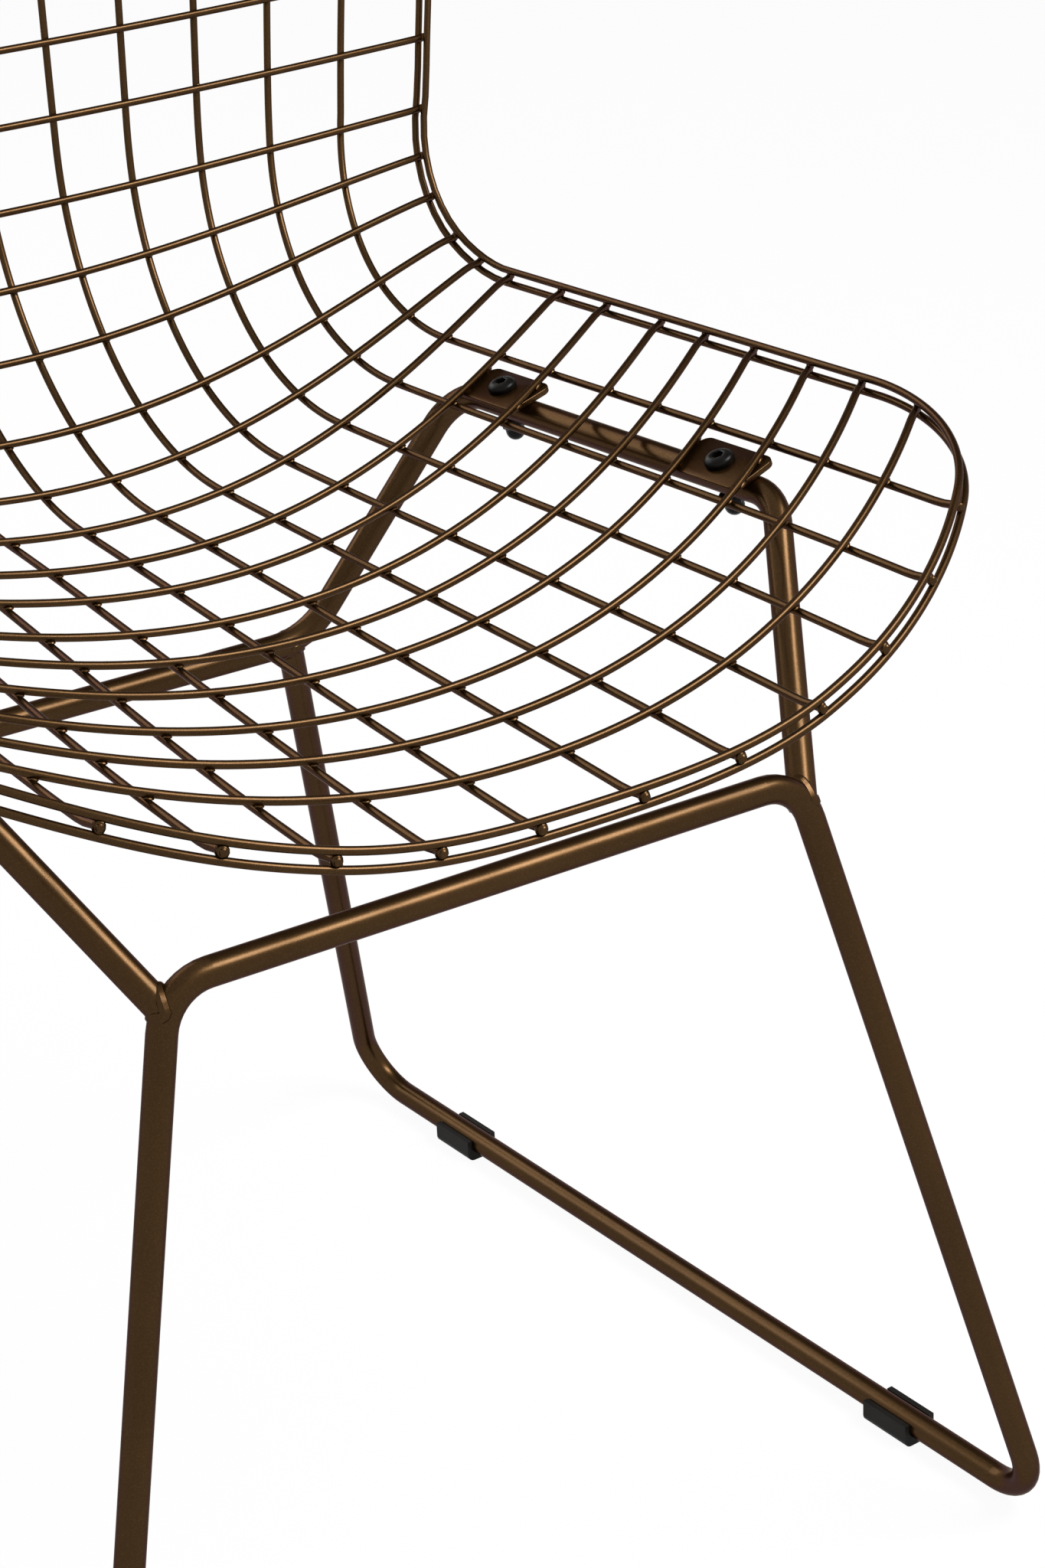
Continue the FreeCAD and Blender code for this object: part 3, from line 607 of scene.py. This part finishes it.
def make_cross_wire(number):
    """Wire of the upper layer, from side to side."""
    station = cross_wire_station(number)
    half = side_half(station) + END_REACH

    def curve(across):
        return layer_point(across, station, LAYER * end_blend(across, -half, half))

    add_wire("cross_wire_%02d" % number, curve, -half, half)


def make_rim_wire(name, offset):
    """Closed rim wire, above or below the ends of the mesh wires."""
    sections = range(2 * HALF_SECTIONS)
    places = [section + step / RIM_STEPS for section in sections for step in range(RIM_STEPS)]
    points = [layer_point(*outline(place), offset) for place in places]
    mesh = bmesh.new()
    sweep_tube(mesh, points, [WIRE_RADIUS] * len(points), WIRE_SIDES, closed=True)
    add_piece("round_" + name, mesh, "bronze_paint", [name])


for wire_number in range(1, LONG_WIRES + 1):
    make_long_wire(wire_number)
for wire_number in range(1, CROSS_WIRES + 1):
    make_cross_wire(wire_number)
make_rim_wire("rim_wire_upper", RIM_LAYER)
make_rim_wire("rim_wire_lower", -RIM_LAYER)


# Welds of the net

def add_lump(mesh, centre, directions, halves):
    """Small lump of weld metal, a little different each time."""
    scale = [half * HAND.uniform(*LUMP_VARIATION) for half in halves]
    axes = Matrix(directions).transposed().to_4x4()
    matrix = Matrix.Translation(centre) @ axes @ Matrix.Diagonal((*scale, 1))
    bmesh.ops.create_uvsphere(mesh, u_segments=10, v_segments=6, radius=1, matrix=matrix)


def make_crossing_welds():
    """A lump between the two wires of each crossing inside the rim."""
    mesh = bmesh.new()
    for number in range(1, LONG_WIRES + 1):
        across = long_wire_across(number)
        for other in range(1, CROSS_WIRES + 1):
            station = cross_wire_station(other)
            if abs(across) < side_half(station) - END_BLEND:
                add_lump(mesh, net_point(across, station), net_directions(across, station), CROSSING_WELD)
    add_piece("crossing_welds", mesh, "bronze_paint")


def make_rim_welds():
    """A lump at each wire end, between the two rim wires."""
    mesh = bmesh.new()
    ends = []
    for number in range(1, LONG_WIRES + 1):
        across = long_wire_across(number)
        ends += [(across, front_station(across)), (across, top_station(across))]
    for number in range(1, CROSS_WIRES + 1):
        station = cross_wire_station(number)
        ends += [(side_half(station), station), (-side_half(station), station)]
    for across, station in ends:
        add_lump(mesh, net_point(across, station), net_directions(across, station), RIM_WELD)
    add_piece("rim_welds", mesh, "bronze_paint")


make_crossing_welds()
make_rim_welds()


# Seat rails and what is screwed to them

def plate_seat(front_wire):
    """Middle of a right plate on the net, between two cross wires, and the direction out of it."""
    station = (cross_wire_station(front_wire) + cross_wire_station(front_wire + 1)) / 2
    return net_point(PLATE_ACROSS, station), net_directions(PLATE_ACROSS, station)[2]


# Under the cross wires lie the plate, with a clearance on both faces, and the upper half of the rail.

RAIL_DEPTH = PLATE_THICKNESS + 2 * CLEARANCE + ROD_RADIUS + WIRE_RADIUS - LAYER
PLATE_SEATS = {end: plate_seat(wire) for end, wire in PLATE_FRONT_WIRES.items()}
RAIL_SEATS = {end: place - normal * RAIL_DEPTH for end, (place, normal) in PLATE_SEATS.items()}
RAIL_DIRECTION = (RAIL_SEATS["front"] - RAIL_SEATS["rear"]).normalized()
PLATE_SEAT = ROD_RADIUS + CLEARANCE + PLATE_THICKNESS
HEAD_SEAT = PLATE_SEAT + CLEARANCE
NUT_SEAT = -(ROD_RADIUS + CLEARANCE)


def rail_point(y):
    """Point of the right seat rail's axis, at a place front to back."""
    seat = RAIL_SEATS["rear"]
    return seat + RAIL_DIRECTION * ((y - seat.y) / RAIL_DIRECTION.y)


def seat_matrix(end, side, height):
    """Place at a height over a rail's axis: z out of the plate, y along the rail."""
    place, normal = PLATE_SEATS[end]
    level = (normal - RAIL_DIRECTION * normal.dot(RAIL_DIRECTION)).normalized()
    on_rail = rail_point(place.y)
    on_rail = on_rail + RAIL_DIRECTION * (place - on_rail).dot(RAIL_DIRECTION)
    axes = Matrix((RAIL_DIRECTION.cross(level), RAIL_DIRECTION, level)).transposed().to_4x4()
    return Matrix.Diagonal((side, 1, 1, 1)) @ Matrix.Translation(on_rail + level * height) @ axes


def lathe(mesh, profile):
    """Turns a half section of (radius, height) points about the z axis."""
    verts = [bmesh.ops.create_vert(mesh, co=(radius, 0, height))["vert"][0] for radius, height in profile]
    edges = [mesh.edges.new(pair) for pair in zip(verts, verts[1:])]
    bmesh.ops.spin(mesh, geom=verts + edges, cent=(0, 0, 0), axis=(0, 0, 1), angle=2 * math.pi,
                   steps=TURN_STEPS, use_merge=True)
    bmesh.ops.remove_doubles(mesh, verts=mesh.verts, dist=MERGE_DISTANCE)


def hexagon_radius(size, angle):
    """How far a hexagon's outline lies from its middle, in a direction."""
    return size / 2 / math.cos((angle + math.pi / 6) % (math.pi / 3) - math.pi / 6)


def sink_socket(mesh, height):
    """Hexagon socket inside the open ring at the top of a head."""
    edges = [edge for edge in mesh.edges if edge.is_boundary]
    for depth in (0, SOCKET_DEPTH):
        verts, edges = extrude_ring(mesh, edges)
        for vert in verts:
            angle = math.atan2(vert.co.y, vert.co.x)
            radius = hexagon_radius(SOCKET_SIZE, angle)
            vert.co = (radius * math.cos(angle), radius * math.sin(angle), height - depth)
    bmesh.ops.contextual_create(mesh, geom=edges)


def screw_mesh():
    """Domed head with its shank; the head's underside lies at z = 0."""
    mesh = bmesh.new()
    profile = [(0, -SHANK_LENGTH), (SHANK_RADIUS, -SHANK_LENGTH), (SHANK_RADIUS, 0),
               (HEAD_RADIUS - HEAD_CHAMFER, 0), (HEAD_RADIUS, HEAD_CHAMFER)]
    for step in range(DOME_STEPS):
        angle = math.pi / 2 * step / DOME_STEPS
        profile.append((SOCKET_RIM + (HEAD_RADIUS - SOCKET_RIM) * math.cos(angle),
                        HEAD_EDGE + (HEAD_HEIGHT - HEAD_EDGE) * math.sin(angle)))
    profile.append((SOCKET_RIM, HEAD_HEIGHT))
    lathe(mesh, profile)
    sink_socket(mesh, HEAD_HEIGHT - SOCKET_CHAMFER)
    return mesh


def nut_mesh():
    """Cap nut; its seat lies at z = 0 and the dome points down."""
    mesh = bmesh.new()
    bmesh.ops.create_circle(mesh, segments=6, radius=NUT_SIZE / math.sqrt(3), cap_ends=True)
    thicken_down(mesh, NUT_HEXAGON_HEIGHT)
    bmesh.ops.bevel(mesh, geom=mesh.edges[:], offset=NUT_EDGE, segments=2, profile=0.5, affect="EDGES",
                    material=-1)
    profile = [(NUT_DOME_RADIUS, -NUT_HEXAGON_HEIGHT + NUT_DOME_OVERLAP)]
    for step in range(DOME_STEPS + 1):
        angle = math.pi / 2 * step / DOME_STEPS
        profile.append((NUT_DOME_RADIUS * math.cos(angle),
                        -NUT_HEIGHT + NUT_DOME_RADIUS * (1 - math.sin(angle))))
    lathe(mesh, profile)
    return mesh


def plate_mesh(length):
    """Flat plate with rounded corners and softened edges; its top lies at z = 0."""
    mesh = bmesh.new()
    shape = Matrix.Diagonal((PLATE_WIDTH / 2, length / 2, 1, 1))
    bmesh.ops.create_grid(mesh, x_segments=1, y_segments=1, size=1, matrix=shape)
    bmesh.ops.bevel(mesh, geom=mesh.verts[:], offset=PLATE_CORNER, segments=6, profile=0.5,
                    affect="VERTICES", material=-1)
    thicken_down(mesh, PLATE_THICKNESS)
    rims = [edge for edge in mesh.edges if abs(edge.verts[0].co.z - edge.verts[1].co.z) < LEVEL_TOLERANCE]
    bmesh.ops.bevel(mesh, geom=rims, offset=PLATE_EDGE, segments=3, profile=0.5, affect="EDGES",
                    material=-1)
    return mesh


def make_bracket(end, side_name):
    """Plate under two neighbouring cross wires, on top of a rail."""
    front_wire = PLATE_FRONT_WIRES[end]
    spacing = cross_wire_station(front_wire + 1) - cross_wire_station(front_wire)
    mesh = plate_mesh(spacing + 2 * WIRE_RADIUS + 2 * PLATE_OVERHANG)
    matrix = seat_matrix(end, SIDES[side_name], PLATE_SEAT)
    bmesh.ops.transform(mesh, matrix=matrix, verts=mesh.verts)
    corner = "%s_%s" % (end, side_name)
    add_piece("bracket_plate_" + corner, mesh, "bronze_paint", ["bracket_" + corner])


def make_bracket_welds():
    """Beads that hold the cross wires on the plates' corners."""
    mesh = bmesh.new()
    for front_wire in PLATE_FRONT_WIRES.values():
        for number, outwards in ((front_wire, -PLATE_WELD_SHIFT), (front_wire + 1, PLATE_WELD_SHIFT)):
            station = cross_wire_station(number)
            for side in SIDES.values():
                for reach in (-PLATE_WELD_REACH, PLATE_WELD_REACH):
                    across = side * (PLATE_ACROSS + reach)
                    along, sideways, normal = net_directions(across, station)
                    centre = net_point(across, station) + normal * PLATE_WELD_RISE + along * outwards
                    add_lump(mesh, centre, (along, sideways, normal), PLATE_WELD)
    add_piece("bracket_welds", mesh, "bronze_paint")


def make_fasteners(name, make, height, node):
    """One piece with a copy of a screw or nut at each of the four plates."""
    whole = bmesh.new()
    for end in PLATE_FRONT_WIRES:
        for side in SIDES.values():
            copy = make()
            bmesh.ops.transform(copy, matrix=seat_matrix(end, side, height), verts=copy.verts)
            data = bpy.data.meshes.new("copy")
            copy.to_mesh(data)
            copy.free()
            whole.from_mesh(data)
            bpy.data.meshes.remove(data)
    add_piece(name, whole, "black_steel", [node])


for plate_end in PLATE_FRONT_WIRES:
    for plate_side in SIDES:
        make_bracket(plate_end, plate_side)
make_bracket_welds()
make_fasteners("domed_screws", screw_mesh, HEAD_SEAT, "rail_screws")
make_fasteners("cap_nuts", nut_mesh, NUT_SEAT, "rail_nuts")


# Welds of the base

def on_side(point, side):
    """Point or direction of the right side, kept or mirrored to the left."""
    return Vector((side * point.x, point.y, point.z))


def bend_point(before, corner, after, radius, share):
    """Point and direction on the tangent arc that rounds a corner."""
    back = (before - corner).normalized()
    ahead = (after - corner).normalized()
    half_turn = (math.pi - back.angle(ahead)) / 2
    inward = (back + ahead).normalized()
    middle = corner + inward * (radius / math.cos(half_turn))
    angle = half_turn * (2 * share - 1)
    onward = (ahead - back).normalized()
    point = middle + (-inward * math.cos(angle) + onward * math.sin(angle)) * radius
    return point, onward * math.cos(angle) + inward * math.sin(angle)


def weld_seam(mesh, foot, along_rod, standing):
    """Bead round the end of a rod that stands on another rod of the same size."""
    side_axis = standing.cross(along_rod).normalized()
    front_axis = side_axis.cross(standing)
    level = standing - along_rod * standing.dot(along_rod)
    points = []
    for step in range(SEAM_STEPS):
        angle = 2 * math.pi * step / SEAM_STEPS
        spoke = (side_axis * math.sin(angle) + front_axis * math.cos(angle)) * ROD_RADIUS
        flat = spoke - along_rod * spoke.dot(along_rod)
        half = flat.dot(level)
        rest = max(half ** 2 - level.length_squared * (flat.length_squared - ROD_RADIUS ** 2), 0)
        height = max((math.sqrt(rest) - half) / level.length_squared, SEAM_LOWEST)
        points.append(foot + spoke * SEAM_SPOKE_SHARE + standing * (height - SEAM_SINK))
    radii = [SEAM_RADIUS * HAND.uniform(*SEAM_VARIATION) for _ in points]
    sweep_tube(mesh, points, radii, SEAM_SIDES, closed=True)


def make_base_welds():
    """Seams where the struts stand on the front bends, and where the rear legs meet the rear bends."""
    front_bar, runner_front = FRONT_BAR + SETBACK, RUNNER_FRONT + SETBACK
    rear_bar, runner_rear = REAR_BAR + SETBACK, RUNNER_REAR + SETBACK
    rail_front = rail_point(RAIL_FRONT_Y + SETBACK.y)
    rail_rear = rail_point(RAIL_REAR_Y + SETBACK.y)
    strut_foot, strut_along = bend_point(on_side(front_bar, -1), front_bar, runner_front, FRONT_BAR_BEND,
                                         STRUT_FOOT_SHARE)
    leg_top, leg_along = bend_point(on_side(rear_bar, -1), rear_bar, rail_rear, REAR_BAR_BEND,
                                    LEG_TOP_SHARE)
    strut = (rail_front - strut_foot).normalized()
    leg = (runner_rear - leg_top).normalized()
    mesh = bmesh.new()
    for side in (1, -1):
        weld_seam(mesh, on_side(strut_foot, side), on_side(strut_along, side), on_side(strut, side))
        weld_seam(mesh, on_side(leg_top, side), on_side(leg_along, side), on_side(leg, side))
    add_piece("base_welds", mesh, "bronze_paint")


make_base_welds()

# The two rods and the four foot clips are shown as they are, in the same finishes

for subpart in frame["record"]["subparts"]:
    cad_node = frame["nodes"][subpart["node"]]
    for material_slot in cad_node.material_slots:
        material_slot.material = FINISHES[subpart["material_slot"]]


# Floor, light and camera

def white_floor():
    """White where it is seen, straight or mirrored, and lit just enough to keep a soft shadow."""
    finish = Finish("white_floor")
    seen = finish.ray("Is Camera Ray") + finish.ray("Is Glossy Ray") + finish.ray("Is Transmission Ray")
    lit = finish.node("ShaderNodeBsdfDiffuse", {}, {"Color": FLOOR_COLOUR})
    glow = finish.node("ShaderNodeEmission", {}, {"Color": WHITE, "Strength": 1.0})
    shown = finish.node("ShaderNodeMixShader", {}, {0: seen * FLOOR_GLOW_SHARE, 1: lit, 2: glow})
    return finish.close(shown)


def dark_reflection_sheet():
    """Painted dark reflection: a plain dark grey glow of the same strength everywhere, which the metal
    mirrors.
    """
    finish = Finish("dark_ceiling_paint")
    return finish.close(finish.node("ShaderNodeEmission", {}, {"Color": PAINTED_REFLECTION_COLOUR, "Strength": 1.0}))


def add_sheet(name, half_size, place, material):
    """Level square sheet of the studio."""
    mesh = bmesh.new()
    matrix = Matrix.Translation(place)
    bmesh.ops.create_grid(mesh, x_segments=1, y_segments=1, size=half_size, matrix=matrix)
    sheet = add_object(name, mesh, material)
    return sheet


def make_floor():
    add_sheet("floor", FLOOR_HALF, (0, 0, 0), white_floor())


def make_dark_reflection_sheet():
    """Glowing dark grey sheet to the right behind the chair, which only reflections see; it paints dark
    reflections on the metal.
    """
    reflection_sheet = add_sheet("dark_reflection_sheet", REFLECTION_SHEET_HALF, REFLECTION_SHEET_PLACE, dark_reflection_sheet())
    reflection_sheet.visible_camera = False
    reflection_sheet.visible_diffuse = False
    reflection_sheet.visible_shadow = False


def make_world():
    """White surroundings that light the chair more weakly than they show."""
    world = bpy.data.worlds.new("studio")
    bpy.context.scene.world = world
    shading = Shading(world)
    strength = shading.node("ShaderNodeMapRange", {}, {
        "Value": 1.0 - shading.ray("Is Diffuse Ray"),
        "To Min": WORLD_LIGHT,
        "To Max": WORLD_SHOWN,
    })
    backdrop = shading.node("ShaderNodeBackground", {}, {"Color": WHITE, "Strength": strength})
    shading.node("ShaderNodeOutputWorld", {}, {"Surface": backdrop})


def add_softbox(name, place, aim, size, power):
    """Rectangular lamp that faces a point of the chair."""
    lamp = bpy.data.lights.new(name, "AREA")
    lamp.shape = "RECTANGLE"
    lamp.size, lamp.size_y = size
    lamp.energy = power
    holder = bpy.data.objects.new(name, lamp)
    holder.location = place
    holder.rotation_euler = (Vector(aim) - Vector(place)).to_track_quat("-Z", "Y").to_euler()
    bpy.context.scene.collection.objects.link(holder)


def make_camera():
    """Camera at the photograph's viewing angle."""
    lens = bpy.data.cameras.new("camera")
    lens.lens = CAMERA_FOCUS * lens.sensor_width / PHOTO_LONG_SIDE
    camera = bpy.data.objects.new("camera", lens)
    yaw = Matrix.Rotation(-CAMERA_YAW, 4, "Z")
    tilt = Matrix.Rotation(math.pi / 2 - CAMERA_PITCH, 4, "X")
    roll = Matrix.Rotation(CAMERA_ROLL, 4, "Z")
    camera.matrix_world = Matrix.Translation(CAMERA_PLACE + SETBACK) @ yaw @ tilt @ roll
    bpy.context.scene.collection.objects.link(camera)
    bpy.context.scene.camera = camera


make_floor()
make_dark_reflection_sheet()
make_world()
add_softbox("front_softbox", place=(1.15, -1.25, 2.25), aim=(0.0, 0.0, 0.35), size=(1.4, 0.76), power=68)
add_softbox("rear_softbox", place=(-0.8, 2.3, 2.0), aim=(0.0, 0.0, 0.40), size=(2.6, 1.5), power=38)
make_camera()
bpy.context.scene.view_settings.view_transform = "Standard"
